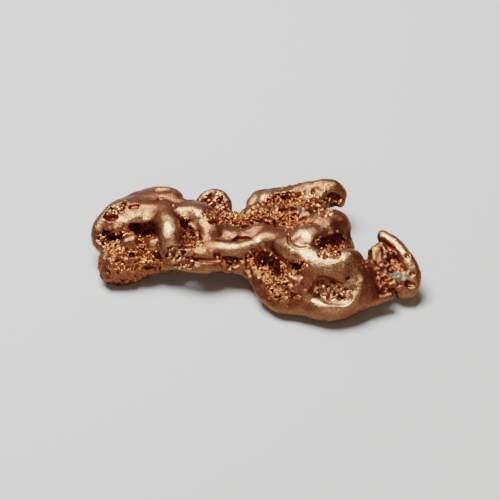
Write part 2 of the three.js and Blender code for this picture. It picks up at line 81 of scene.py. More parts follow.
# Each point is [across, up, height, radius] in mm. Across and up are measured on the drawing board,
# which faces the front and leans back; height is above the ground.
RIDGES = {
    "left roll": [[-31.2, 5.2, 5.6, 1.2], [-31, 7, 6.8, 1.6], [-29.6, 9.2, 7.6, 2.1],
        [-27.2, 10.9, 7.8, 2.6], [-24.4, 11.6, 7.7, 2.7], [-21.6, 12.4, 7.4, 2.9],
        [-19, 12.7, 7.3, 2.9], [-17, 12.7, 7.5, 2.5]],
    "roll back": [[-27, 11.8, 6.8, 1.7], [-24, 13, 6.7, 1.9], [-21, 14, 6.7, 2.1],
        [-18.6, 14.4, 6.8, 2.1], [-17, 14, 7, 1.9]],
    "lip hook": [[-19.4, 15.7, 9.8, 0.6], [-17.4, 15.8, 9.8, 0.6], [-16, 15.3, 9.7, 0.5],
        [-15, 14.7, 9.5, 0.4]],
    "roll face": [[-28.8, 9.2, 8, 1.3], [-26.4, 10.4, 8.7, 1.8], [-23.2, 10.9, 8.9, 2],
        [-20, 11, 9, 2.1], [-17.2, 10.8, 9.2, 2]],
    "arch lip": [[-28, 7.2, 7.6, 0.8], [-27, 8.6, 8.5, 0.9], [-24.8, 9.5, 9, 1], [-22.4, 9.7, 9.2, 1.1],
        [-20, 9.6, 9.3, 1.1], [-18.6, 9.2, 9.5, 1.3]],
    "thumb": [[-18.2, 11, 9.2, 1.7], [-17.6, 9.6, 9.8, 2], [-17, 8.2, 10, 2.3], [-16.8, 6.6, 9.7, 2.4],
        [-16.8, 5.3, 9.1, 2.1], [-17.1, 4.5, 8.5, 1.6]],
    "thumb tail": [[-17.8, 4.8, 8, 0.9], [-18, 3.2, 6.8, 0.8], [-17.8, 1.6, 5.6, 0.8],
        [-17, 0.6, 4.8, 0.8]],
    "back shoulder": [[-16.6, 13.4, 8.8, 1.6], [-14.6, 12.6, 9, 1.4], [-12.4, 12.1, 9.2, 1.4],
        [-10.4, 11.4, 9.2, 1.4], [-8.8, 10.4, 8.9, 1.2], [-7.8, 9.6, 8.5, 0.8]],
    "bright patch": [[-14.4, 11, 9.8, 1.5], [-12.6, 10.8, 9.8, 1.8], [-11, 10, 9.8, 1.8]],
    "saddle": [[-10.6, 10.4, 9.4, 1.8], [-9.6, 8.8, 9, 2], [-9.2, 7, 8.5, 2], [-9.6, 5, 7.6, 1.8],
        [-10.4, 3.4, 6.8, 1.7]],
    "middle top": [[-9, 7.2, 8.3, 1.7], [-6.6, 6.6, 7.8, 1.8], [-4, 5.6, 7.3, 1.8],
        [-1.6, 5.6, 7.2, 1.8], [0.6, 6.4, 7.5, 1.9], [2.2, 6, 7.8, 1.7]],
    "middle back edge": [[-7.6, 8.8, 8.7, 0.9], [-5.8, 8, 8.1, 0.8], [-4, 7.2, 7.8, 0.7],
        [-1.8, 6.9, 7.9, 0.7], [0, 7.6, 8.2, 1], [1.6, 7.9, 8.4, 1], [2.6, 7.2, 8.3, 1]],
    "crest": [[-10.6, 3.2, 7.4, 1.7], [-8.4, 3.6, 7.7, 1.7], [-5.8, 3.6, 7.8, 1.7], [-3, 3.6, 7.8, 1.7],
        [-0.2, 4.3, 7.9, 1.6], [2.2, 5.3, 8.1, 1.4]],
    "low bulb": [[-10.8, 0.9, 6, 1.5], [-9, 0.8, 6.1, 1.7], [-7.2, 0.9, 6, 1.5]],
    "under rim": [[-18.4, 0.2, 4.9, 0.7], [-15.8, 0.3, 5.4, 0.7], [-13.8, 0, 5.8, 0.8],
        [-11.6, -0.1, 5.9, 1], [-10, 0.2, 5.9, 1.2]],
    "foot rim": [[-25.4, -2.3, 1.6, 0.6], [-23.4, -1.8, 2, 0.6], [-21.2, -0.9, 2.8, 0.6],
        [-19, -0.5, 3.4, 0.6], [-17, -0.3, 3.8, 0.6]],
    "knob rim": [[-11, 13.4, 7.6, 0.8], [-10, 14.5, 7.8, 0.8], [-8.6, 15.1, 7.8, 0.8],
        [-7.2, 15, 7.6, 0.8], [-6, 14.1, 7.2, 0.8], [-5.4, 12.8, 6.6, 0.8], [-5.6, 11.5, 6, 0.7],
        [-6.2, 10.8, 5.8, 0.5]],
    "right rim": [[-1.5, 10.8, 6, 0.7], [-0.8, 12.8, 6.6, 0.9], [0.2, 14.4, 7, 0.9],
        [1.6, 15.1, 7.2, 0.8], [3.4, 15.3, 7.4, 0.7], [5.8, 15.7, 7.7, 0.6], [8.4, 16, 8, 0.7],
        [10.2, 15.9, 8.4, 1]],
    "flap": [[1.2, 11.4, 6.6, 0.8], [1.4, 13, 7.3, 1.1], [2.2, 14.2, 7.7, 1.1], [3.2, 14.8, 7.7, 0.8],
        [4, 14.4, 7.7, 0.5]],
    "shell": [[5, 14.6, 8, 0.6], [6.4, 14.8, 8.1, 0.7], [7.8, 15.1, 8.2, 0.7]],
    "ball hook": [[9.8, 15.6, 8.4, 1.1], [11.6, 16, 8.8, 1.4], [13.6, 16.1, 9, 1.8],
        [15.4, 15.9, 8.9, 1.9], [16.8, 15.2, 8.4, 1.5], [17.5, 14.1, 7.6, 0.9], [17.3, 13, 6.8, 0.8]],
    "upper ridge": [[10, 5.9, 10.8, 1.5], [11.6, 6.5, 11, 1.5], [13.2, 7.4, 11.2, 1.5],
        [15, 8.2, 11, 1.4], [16.8, 8.5, 10.5, 1.3], [18, 8, 9.6, 1], [18.2, 7, 8.6, 0.7],
        [18.2, 5.4, 7.6, 0.6], [18, 4, 7, 0.6]],
    "upper ridge back": [[9.8, 7.6, 10.6, 1.6], [11.6, 8.6, 11, 1.7], [13.4, 9.4, 11.2, 1.8],
        [15.2, 9.9, 11, 1.8], [16.8, 9.6, 10.4, 1.5]],
    "ridge knob": [[18.6, 8.2, 8.8, 0.6]],
    "wye": [[3.2, 5.4, 8.4, 1.3], [5, 4.5, 9.2, 1.7], [7.2, 3.3, 9.8, 2.1], [9.4, 2.4, 10, 2.4],
        [11.4, 1.4, 10, 2.5], [13.4, 0.6, 9.8, 2.5], [15.8, 0.2, 9.5, 2.4], [17.8, 0.6, 9.3, 2.2],
        [19, 1.2, 9, 1.8]],
    "nose": [[8, 5.6, 10, 1.7], [9.6, 6, 10.5, 1.9], [11, 6.2, 10.8, 1.7]],
    "wye link": [[9.6, 4, 10.3, 1.6], [10.8, 4.8, 10.6, 1.5], [11.6, 5.8, 10.8, 1.2]],
    "wye top": [[4, 6, 8.6, 1.2], [5.6, 5.9, 9, 1.2], [7, 5, 9.4, 1.3]],
    "shoulder": [[17.8, 1.6, 9.8, 2], [19, 1.2, 9.2, 1.9], [19.4, 0, 8.4, 1.8], [20, -1.6, 7.6, 1.9],
        [20.4, -3.6, 6.4, 2.1], [19.8, -5.6, 5, 2.2], [18, -7, 4.2, 2.2], [15.4, -7.8, 3.8, 2.2],
        [12.6, -7.4, 3.9, 2], [10.6, -6.4, 4.4, 1.5]],
    "belly band": [[9.8, -0.8, 8.4, 1], [9.6, -2.6, 7.2, 1.4], [9.4, -4.6, 5.8, 1.6],
        [9.2, -6.6, 4, 1.6]],
    "under ridge": [[10.8, -0.4, 9.2, 1.2], [13, -1, 9.2, 1.4], [15.4, -1.4, 8.8, 1.5],
        [17.6, -1.5, 8.4, 1.3]],
    "oval rim": [[11.8, -1, 8.5, 0.5], [13.4, -1.6, 8.2, 0.5], [15.4, -2.5, 7.6, 0.5],
        [17.4, -3.2, 7, 0.5], [19, -3.9, 6.4, 0.6]],
    "belly rim": [[1.8, -5, 3.2, 1.2], [3.2, -6.5, 2.9, 1.3], [5, -7.5, 2.7, 1.3],
        [7.4, -7.8, 2.7, 1.3], [10, -8.3, 2.7, 1.3], [12.6, -8.8, 2.7, 1.3], [15.2, -8.8, 2.8, 1.3],
        [17.8, -8.2, 3, 1.3], [20.6, -7.2, 3.4, 1.2], [23.6, -6.3, 3.8, 1], [26.6, -5.5, 4.1, 0.8]],
    "strand": [[2.6, 4.8, 8.4, 0.7], [4.2, 4.1, 8.5, 0.65], [5.4, 3, 8.2, 0.6], [6, 1.4, 7.5, 0.6],
        [6.3, -0.4, 6.6, 0.55], [6.5, -2.6, 5.8, 0.5]],
    "left edge": [[-3.4, -0.1, 4.8, 0.5], [-2, -0.9, 4.6, 0.6], [-0.6, -2.2, 4.2, 0.7],
        [0.6, -3.8, 3.7, 0.9], [1.8, -5.4, 3.2, 1.1]],
    "arm flank": [[21.4, -0.8, 6.4, 1.2], [21.8, -2.8, 5.4, 1.6], [21.8, -5, 4.2, 1.6]],
    "hook rim": [[28.6, -5.1, 3, 0.9], [30.4, -4.7, 3.2, 1.2], [31.4, -3.2, 4.2, 1.2],
        [31.3, -1.1, 5.6, 1.3], [30.3, 1.2, 6.8, 1.4], [28.8, 3.4, 7.8, 1.4], [27.1, 5.2, 8.5, 1.3],
        [25.6, 6.3, 8.8, 1.1]],
    "hook tip": [[25.1, 6.8, 8.9, 0.7], [24.8, 6, 8.6, 0.5]],
    "hook wall": [[23.5, 3.6, 7, 0.5], [23.7, 1.6, 5.8, 0.6], [23.8, -0.6, 4.6, 0.7]],
    "hook wall 2": [[24.7, 4.4, 7.6, 0.5], [24.8, 2, 6.2, 0.6], [24.8, -0.4, 4.8, 0.6]],
    "rod": [[25.6, 4.1, 8, 0.5], [25.6, 3, 7.4, 0.5], [25.5, 1.8, 6.6, 0.5]],
    "wall piece": [[22.7, 3.4, 6.4, 0.3], [22.7, 2, 5.6, 0.4]],
    "ball": [[-20.3, 4.8, 8.7, 1.1]],
    "lump": [[-25.3, 5.1, 8.2, 1.2], [-24.1, 5.5, 8.5, 1.3]],
}

HEART = {
    "left front": [[-27, 0, 3.3, 2.6], [-24, 0.4, 3.5, 2.6], [-21, 1, 4, 2.4]],
    "left mass": [[-27.4, 1.2, 4.4, 3], [-24, 1.8, 4.5, 3.3], [-20.6, 2.8, 5.4, 3.3], [-17, 3.2, 6.3, 2.8],
        [-13.4, 3.2, 6.9, 2.5], [-10.4, 2.8, 6.8, 2]],
    "left foot": [[-28.2, -0.8, 2.5, 2.3], [-27, 0.2, 3.6, 2.9]],
    "left inside": [[-29, 6, 5.2, 1.8], [-26, 7.2, 6, 3], [-22, 8, 6.2, 3.4], [-18, 8.4, 6.4, 3.4],
        [-14, 8.4, 6.8, 3.2], [-11, 7.6, 6.6, 2.6]],
    "middle": [[-12, 6.4, 7, 2.3], [-8, 5.8, 6.9, 2.1], [-4, 5.2, 6.7, 2], [0, 5.4, 6.7, 2.2],
        [4, 5.2, 6.9, 2.5]],
    "ledge": [[-6.6, 0.2, 5, 0.9], [-4.6, 0.2, 5.2, 0.9], [-2.6, 0.6, 5.3, 1.2]],
    "knob": [[-9.4, 12.8, 6.6, 1.8], [-7.8, 13.2, 6.8, 1.8], [-6.6, 12.4, 6.2, 1.6]],
    "valley": [[-9.4, 10.4, 6.2, 1.8], [-6, 9, 5.8, 2.2], [-2, 9.2, 5.6, 2.4], [1.4, 9.8, 5.8, 2.8],
        [6, 9.8, 6, 3], [9.6, 10.2, 6.6, 3]],
    "right back": [[0.4, 12.2, 4.8, 2.2], [3.4, 12.6, 5.2, 2.8], [7.4, 13, 5.6, 3],
        [11.4, 13.2, 6.6, 3.2], [13.4, 14, 7.2, 2.8]],
    "centre": [[7, 5.6, 7, 3], [11.4, 5.4, 7.9, 3.2], [15, 4.6, 8, 3.2], [17.4, 4.8, 6.6, 2.2]],
    "pit floor": [[-1, 0.8, 5, 1.5], [0.8, -1, 4.6, 1.9], [2.6, -2.6, 4.2, 2.4], [4.6, -2.6, 3.9, 2.8]],
    "pit back": [[-1, 1.2, 5, 1.7], [1.8, 1.2, 4.9, 2.4], [5, 1.2, 4.6, 3], [8, 0.8, 5.6, 3.2]],
    "belly": [[4.2, -4.2, 4.1, 2.8], [7.4, -3.8, 4.7, 3.7], [12.2, -3.2, 4.5, 4.6],
        [16.5, -3, 4.6, 4.3], [20.2, -3.2, 4.8, 2.8]],
    "arm": [[20.6, -3.6, 4.6, 2.8], [23.6, -3.4, 4.2, 2.2], [26.6, -3.2, 4.2, 1.8],
        [29.4, -2.6, 4.2, 1.6]],
    "hook web": [[29.8, -2.4, 4.4, 1.6], [29, -0.4, 5.4, 1.4], [27.8, 1.8, 6.4, 1.3],
        [26.6, 3.8, 7.4, 1]],
    "hook inside": [[24.6, -1.8, 4.2, 1.4], [25.6, 0, 5, 1.2], [26.2, 2, 6, 1]],
    "lumps": [[20.6, 0.4, 6.6, 0.9], [21.8, 0.7, 6.2, 0.9], [23, 0.4, 5.6, 0.9]],
    "back foot": [[5, 8, 5, 2.6], [7, 7.4, 3.8, 3], [9, 7, 2.2, 2.4]],
    "island": [[13.6, 2.9, 9.4, 0.9], [15.8, 2.6, 9.2, 0.9]],
    "hook back": [[25.4, 5.6, 7.4, 0.8], [26.4, 4.2, 6.8, 1], [27.2, 2.6, 6, 1.1]],
    "left end": [[-30.2, 4.6, 5, 1.3], [-29.4, 3, 4.4, 1.6]],
    "ball web": [[14.8, 14.4, 7.4, 1.3], [16.3, 13.9, 7, 1.1]],
    "wall fill": [[24, 3.4, 6.4, 0.8], [24.2, 1.4, 5.4, 0.9], [24.4, -0.6, 4.6, 1]],
}

# Each point is [across, up, depth, radius]: depth is how far the centre lies under the skin that is
# seen at that place on the board.
HOLLOWS = {
    "cavity A": [[-30.4, 6.4, 0.6, 0.9], [-28.8, 6.6, 0.8, 1.2], [-27, 6, 0.6, 0.8]],
    "cavity B": [[-24.2, 8, 0.2, 1], [-22.4, 7.6, 0.8, 1.6], [-20.2, 7.8, 1, 1.7]],
    "gap": [[-22.3, 5.6, 0.3, 0.6], [-22, 4.2, 0.3, 0.5]],
    "cavity C": [[-13.8, 8.8, 0.2, 1], [-13.4, 7, 0.8, 1.4], [-12.6, 5.2, 0.4, 1.2]],
    "band": [[-29, 11.5, -0.1, 0.5], [-27.2, 12, -0.1, 0.6], [-25.6, 12.8, -0.1, 0.5]],
    "red oval": [[-29.6, 10.2, 0.2, 0.6], [-28.8, 10.1, 0.3, 0.8], [-27.8, 10.1, 0.2, 0.6]],
    "nicks": [[-24.6, 12.2, 0.1, 0.5], [-23.6, 12.4, 0.1, 0.5]],
    "roll pit": [[-19, 14, -0.2, 0.45], [-18.4, 14, -0.2, 0.4]],
    "shoulder pit": [[-16.4, 12.6, 0, 0.5], [-16, 12.1, 0.1, 0.45]],
    "cup": [[-16, 2.8, -0.6, 1.2], [-14.6, 2.2, -0.7, 1.7], [-13.8, 1.4, -0.6, 1.3]],
    "front oval": [[-21.8, 0.2, 0.1, 0.5], [-20.6, 0.3, 0.3, 0.7], [-19, 0.2, 0.1, 0.5]],
    "front pit a": [[-24.4, 2.6, 0.2, 0.6]],
    "front pit b": [[-19.6, 3, 0.2, 0.7], [-19, 2, 0.2, 0.5]],
    "front pit c": [[-27, 1.5, 0.1, 0.4]],
    "foot pit": [[-29.6, 0.2, 0.1, 0.5], [-29.1, -0.6, 0.1, 0.6]],
    "edge pit": [[-26.4, -2.3, 0.1, 0.3], [-25.4, -2.2, 0.1, 0.3]],
    "knob cup": [[-9.4, 13.8, -0.2, 0.8], [-7.8, 13.8, -0.3, 1], [-7.2, 12.6, -0.4, 1.1],
        [-8.2, 12.2, -0.4, 0.9]],
    "red pit": [[-8.8, 9.2, 0.1, 0.5], [-7.6, 9.2, 0.3, 0.8], [-6.4, 9.2, 0.1, 0.5]],
    "slot": [[-4.6, 5.4, 0, 0.3], [-3.4, 5.7, 0.3, 0.6], [-2, 5.8, 0.3, 0.6], [-1, 5.9, 0.1, 0.3]],
    "crest nick": [[-7.5, 2.6, 0.1, 0.5]],
    "pit E": [[1.2, 1.6, 0.1, 1.5], [3, 0.6, 0.7, 1.8], [4, -0.8, 0.7, 1.7], [4.6, -2, 0.4, 1.3]],
    "pit F": [[7.4, 1, 0.5, 0.8], [8.4, 0.6, 0.8, 1], [9.4, 1, 0.5, 0.8]],
    "pit D": [[13.4, 4.9, 0, 1.2], [15.2, 5.2, 0.4, 1.3], [16.6, 5.8, 0.7, 1.1], [17, 4.6, 0.7, 1]],
    "dark slot": [[5.2, 11.5, 0.3, 0.5], [6.6, 11.6, 0.9, 0.7], [8.2, 11.6, 0.7, 0.6]],
    "shell hollow": [[5.8, 14.2, 0.4, 0.5], [7.2, 14.2, 0.4, 0.6]],
    "ball hollow": [[15.4, 14.5, 0.1, 0.8], [16.4, 14, 0.1, 0.8]],
    "nose crease": [[6.6, 6.8, 0, 0.3], [6.8, 5, 0.1, 0.4], [8.4, 4, 0.1, 0.4], [10.4, 4.2, 0, 0.3]],
    "oval": [[12.8, -4, -2.72, 2.8], [15, -4.6, -2.8, 2.9], [17.2, -5.2, -2.65, 2.7]],
    "oval edge": [[11.2, -4.4, 0, 0.3], [12, -3.2, 0, 0.35], [13.6, -2.7, 0, 0.35], [16, -3.1, 0, 0.35],
        [18.8, -4.2, 0, 0.3]],
    "oval line": [[12.4, -4.7, 0.4, 0.3], [14.6, -5.1, 0.6, 0.35], [16.8, -5.5, 0.4, 0.3]],
    "notch": [[18, -1.8, 0.3, 0.5]],
    "hook recess": [[25.6, 4.9, 0.2, 0.5], [26.4, 4.2, 0.3, 0.7], [27.2, 3.8, 0.2, 0.5]],
    "hook red": [[27, 2, 0.3, 1], [28.2, 0.8, 0.3, 1]],
    "hook pit": [[25.6, -2, 0.2, 0.6]],
    "rim pit": [[30, 2.4, 0.1, 0.5]],
    "rim pit 2": [[30.9, -1, 0.1, 0.5]],
    "rim pit 3": [[30, -3, 0.1, 0.6], [31, -3.2, 0.1, 0.5]],
    "crack": [[26.8, -4.2, 0.2, 0.4], [27.8, -4.8, 0.1, 0.3]],
    "bulb line": [[-12.4, 1.9, 0.1, 0.4], [-10.4, 1.6, 0.1, 0.45], [-8.6, 1.5, 0.1, 0.45],
        [-7.2, 1.7, 0, 0.4]],
    "crest line": [[-6, 2.1, 0.1, 0.4], [-4, 1.9, 0.2, 0.5], [-1.4, 2.3, 0.2, 0.5], [0, 3, 0, 0.4]],
}

# Places set with small copper-red crystals, in the same form.
SEAMS = {
    "under the arch": [[-30.5, 6.2, 1, 1.2], [-28, 6, 1, 1.2], [-24, 7.6, 1, 1.4], [-21, 7.6, 1.4, 1.8],
        [-19.6, 6.4, 1, 1.2]],
    "gap": [[-22.4, 5.4, 0.2, 0.8], [-21.8, 3.8, 0.2, 0.8]],
    "cavity C": [[-14, 9, 0.3, 1.4], [-13, 7, 0.6, 1.8], [-12, 5, 0.3, 1.4]],
    "valley": [[-8.6, 10.4, 0, 1.6], [-5.6, 9.6, 0, 2], [-2, 9.6, 0, 2.2], [2, 9.6, 0, 2.2],
        [6, 9.4, 0, 2], [9.6, 9.2, 0, 1.6]],
    "right back": [[3, 13, 0, 1.4], [6, 13.4, 0, 1.8], [9, 13.4, 0, 1.6]],
    "pit E": [[0.4, 2, 0, 2], [2.6, 0.6, 0.6, 2.6], [4.2, -1.6, 0.6, 2.4], [4.6, -4, 0, 1.6]],
    "pit F": [[7.2, 0.8, 0.4, 1.2], [9.4, 0.9, 0.4, 1.2]],
    "belly left": [[3.6, -5.2, 0, 0.9], [6, -5.6, 0, 0.9], [8.2, -5.2, 0, 0.7]],
    "ledge": [[-6, 1, 0.4, 0.8], [-3, 1, 0.4, 1]],
    "pit D": [[12.4, 5.2, 0, 1], [14, 4.2, 0.2, 1.5], [16.2, 5, 0.5, 1.6]],
    "ball hollow": [[15.6, 14.2, 0.8, 0.8], [16.4, 13.6, 0.8, 1]],
    "hook": [[26.8, 3, 0.2, 0.8], [27.6, 1.4, 0.2, 1.1], [28.4, 0.2, 0.2, 1]],
    "arm": [[24.2, -2.2, 0, 1], [25.4, -3, 0, 1.1]],
    "step": [[20.8, 0.8, 0, 0.6], [22.2, 0.8, 0, 0.6]],
    "front top": [[-29, 3.8, 0, 1.1], [-26.4, 3.2, 0, 1.1], [-23, 2.9, 0, 1.2], [-20.4, 3.2, 0, 1]],
    "front": [[-28, 0.4, 0, 0.9], [-25, -0.2, 0, 0.9], [-22, 1, 0, 0.9], [-19.6, 1.4, 0, 0.8]],
}

# Places set with larger, paler, golden crystals.
GOLD_SEAMS = {
    "band": [[-29.2, 11.2, 0, 0.6], [-27.4, 12.1, 0, 0.9], [-25.8, 12.9, 0, 0.6]],
    "end": [[-29.6, 4.4, 0, 0.7], [-28.4, 4.4, 0, 0.7]],
    "cup": [[-16, 2.8, 0, 1.2], [-14.4, 2, 0.3, 2], [-13.4, 1.2, 0, 1.4]],
    "right back": [[10.8, 13.8, 0, 1], [12.4, 12.6, 0, 1.5], [14, 11.2, 0, 1.2]],
    "oval": [[12.8, -4, 0, 1.3], [15, -4.5, 0, 1.6], [17.2, -5, 0, 1.3]],
    "island": [[13.6, 3, 0, 1], [15.6, 2.6, 0, 1]],
    "hook": [[26.8, 3.4, 0, 0.6], [27.6, 3.3, 0, 0.5]],
    "knob cup": [[-9.2, 13.6, 0, 0.8], [-7.8, 13.6, 0, 1.1], [-7, 12.2, 0, 1]],
}

# Places made glossier and painted a pale cream where highlights fall (painted highlight), in the same
# form.
GLOSSY_HIGHLIGHT_PAINT = {
    "roll": [[-26.6, 9.6, 0, 0.4], [-23, 10, 0, 0.6], [-19.6, 9.8, 0, 0.7]],
    "thumb": [[-17.4, 9.4, 0, 1.6], [-16.8, 7.4, 0, 2.2], [-16.8, 5.4, 0, 1.8]],
    "patch": [[-14.2, 11, 0, 1.2], [-12.4, 10.6, 0, 1.6], [-11, 9.6, 0, 1.2]],
    "crest": [[-6.4, 4.4, 0, 0.9], [-2.6, 4.4, 0, 1.1], [0.6, 5.6, 0, 1.1]],
    "nose": [[7.6, 6.4, 0, 1], [9.4, 6.8, 0, 1.6], [10.6, 6.2, 0, 1]],
    "upper ridge": [[11.4, 6.6, 0, 0.6], [13, 7.4, 0, 0.7], [14.6, 8, 0, 0.6]],
    "wye": [[5.4, 5, 0, 1.2], [8, 3.8, 0, 1.8], [11, 2.4, 0, 2.2], [14, 1.4, 0, 2.2], [17.6, 1.4, 0, 2]],
    "shoulder": [[19.6, 0.4, 0, 1.4], [19.6, -2.4, 0, 1.4], [19.4, -4.6, 0, 1.2]],
    "oval rim": [[10.8, -5.8, 0, 1], [13, -7, 0, 1.2], [16, -7.4, 0, 1.2], [18.6, -6, 0, 1.2]],
    "hook rim": [[31, -2.4, 0, 0.8], [30.4, 1, 0, 1], [28.2, 4.4, 0, 1], [26, 6.4, 0, 1]],
    "right rim": [[0.8, 14, 0, 1], [3, 15, 0, 0.8]],
    "knob rim": [[-9.4, 15, 0, 0.7], [-6.6, 14.8, 0, 0.7]],
    "oval top": [[12.2, -2, 0, 0.5], [15, -2.8, 0, 0.5], [17.8, -3.6, 0, 0.5]],
    "strand": [[4.2, 4.1, 0, 0.6], [5.6, 2.8, 0, 0.6], [6.2, 0.6, 0, 0.6], [6.4, -2, 0, 0.5]],
    "ball hook": [[13.4, 15, 0, 0.5], [15.6, 15.6, 0, 0.5]],
}

# Spots of grey-green patina, in the same form.
PATINA = {
    "hook": [[27, -1.2, 0, 0.8], [28.2, -1.7, 0, 0.9]],
    "hook rim": [[30, -1.6, 0, 0.5]],
    "slot": [[8.8, 12, 0, 0.5], [9.6, 11.4, 0, 0.6]],
    "lobe": [[-12, 10.8, 0, 0.4]],
}

# ---- the drawing board ----
LEAN = np.radians(BOARD_LEAN)
ACROSS = np.array([1.0, 0.0, 0.0])
UP_BOARD = np.array([0.0, np.sin(LEAN), np.cos(LEAN)])
OFF_BOARD = np.array([0.0, -np.cos(LEAN), np.sin(LEAN)])


def at_height(points):
    """Board points with a height to x, y, z, radius: y = (up - height cos lean) / sin lean."""
    u, v, z, r = np.array(points, float).T
    return np.stack([u, (v - z * np.cos(LEAN)) / np.sin(LEAN), z, r], 1)


# ---- the grid ----
AXES = [np.arange(low, high, CELL) for low, high in zip(BOX_LOW, BOX_HIGH)]
SHAPE = tuple(len(axis) for axis in AXES)


def cells_between(low, high):
    """Slices of the grid that cover the box from low to high."""
    return tuple(
        slice(*np.searchsorted(axis, [a, b]).tolist()) for axis, a, b in zip(AXES, low, high)
    )


def sample(field, points):
    """The field at any points: the eight grid values round each one, weighted by how near they are."""
    place = np.clip((points - BOX_LOW) / CELL, 0, np.array(SHAPE) - 1.001)
    base = place.astype(int)
    share = place - base
    total = 0.0
    for corner in np.ndindex(2, 2, 2):
        weight = np.prod(np.where(corner, share, 1 - share), axis=-1)
        total = total + weight * field[tuple(np.moveaxis(base + corner, -1, 0))]
    return total


def smooth_path(points):
    """A Catmull-Rom curve through the points, radius included, as a row of close points."""
    if len(points) == 1:
        return np.vstack([points, points + [TINY, 0, 0, 0]])
    ends = np.vstack([2 * points[0] - points[1], points, 2 * points[-1] - points[-2]])
    a, b, c, d = (ends[i:len(ends) - 3 + i, None] for i in range(4))
    t = np.linspace(0, 1, PATH_STEPS, endpoint=False)[None, :, None]
    curve = b + t / 2 * (c - a + t * (2 * a - 5 * b + 4 * c - d + t * (3 * b - a - 3 * c + d)))
    return np.vstack([curve.reshape(-1, 4), points[-1:]])


def blend(a, b, reach):
    """Smooth minimum: the smaller value, less a quarter of reach times the squared share of overlap."""
    overlap = np.clip(reach - np.abs(a - b), 0, None) / reach
    return np.minimum(a, b) - overlap**2 * reach / 4


def add_bar(field, path, fillet, margin=2.0):
    """Joins a bar to the field: the distance to its nearest tapered piece, less the radius there."""
    curve = smooth_path(path)
    spread = curve[:, 3].max() + margin
    whole = cells_between(curve[:, :3].min(0) - spread, curve[:, :3].max(0) + spread)
    nearest = np.full([part.stop - part.start for part in whole], FAR, np.float32)
    for start, end in zip(curve, curve[1:]):
        spread = max(start[3], end[3]) + margin
        low, high = np.minimum(start, end)[:3] - spread, np.maximum(start, end)[:3] + spread
        near = cells_between(low, high)
        x, y, z = np.ix_(*(axis[part] for axis, part in zip(AXES, near)))
        dx, dy, dz = end[:3] - start[:3]
        x, y, z = x - start[0], y - start[1], z - start[2]
        length_sq = max(dx * dx + dy * dy + dz * dz, 1e-9)
        t = np.clip((x * dx + y * dy + z * dz) / length_sq, 0, 1)
        away = np.sqrt((x - t * dx) ** 2 + (y - t * dy) ** 2 + (z - t * dz) ** 2)
        away -= start[3] + t * (end[3] - start[3])
        local = tuple(slice(n.start - w.start, n.stop - w.start) for n, w in zip(near, whole))
        np.minimum(nearest[local], away, out=nearest[local])
    field[whole] = blend(field[whole], nearest, fillet)


def bars(paths, fillet):
    """The distance field of a group of bars that run into each other."""
    field = np.full(SHAPE, FAR, np.float32)
    for path in paths:
        add_bar(field, path, min(fillet, FILLET_SHARE * path[:, 3].mean()))
    return field


def noise(step, seed):
    """Smooth noise from -1 to 1 with lumps about as wide as step: a random lattice, eased between."""
    lattice = np.random.default_rng(seed).uniform(
        -1, 1, [int((high - low) / step) + 3 for low, high in zip(BOX_LOW, BOX_HIGH)]
    )
    for axis, low in zip(AXES, BOX_LOW):
        place = (axis - low) / step
        base = place.astype(int)
        ease = (place - base) ** 2 * (3 - 2 * (place - base))
        weights = np.zeros((len(axis), lattice.shape[0]))
        rows = np.arange(len(axis))
        weights[rows, base] = 1 - ease
        weights[rows, base + 1] = ease
        lattice = np.moveaxis(np.tensordot(weights, lattice, (1, 0)), 0, 2)
    return lattice.astype(np.float32)


def skin_height(field, points):
    """How far off the board the skin is first met, looking down on the board at each point."""
    off = np.arange(22, -14, -0.1)
    across, up = points[:, :1, None] * ACROSS, points[:, 1:2, None] * UP_BOARD
    line = across + up + off[None, :, None] * OFF_BOARD
    met = (sample(field, line) < 0) & np.all((line > BOX_LOW) & (line < BOX_HIGH), axis=-1)
    return off[met.argmax(axis=1)]


def under_skin(field, points):
    """Board points with a depth to x, y, z, radius: the skin at that place, less the depth."""
    points = np.array(points, float)
    off = skin_height(field, points) - points[:, 2]
    place = points[:, :1] * ACROSS + points[:, 1:2] * UP_BOARD + off[:, None] * OFF_BOARD
    return np.hstack([place, points[:, 3:]])


def random_turns(random, count):
    """Turning matrices from random unit quaternions."""
    q = random.normal(size=(count, 4))
    w, x, y, z = (q / np.linalg.norm(q, axis=1, keepdims=True)).T
    rows = [1 - 2 * (y * y + z * z), 2 * (x * y - w * z), 2 * (x * z + w * y),
            2 * (x * y + w * z), 1 - 2 * (x * x + z * z), 2 * (y * z - w * x),
            2 * (x * z - w * y), 2 * (y * z + w * x), 1 - 2 * (x * x + y * y)]
    return np.stack(rows, 1).reshape(-1, 3, 3)


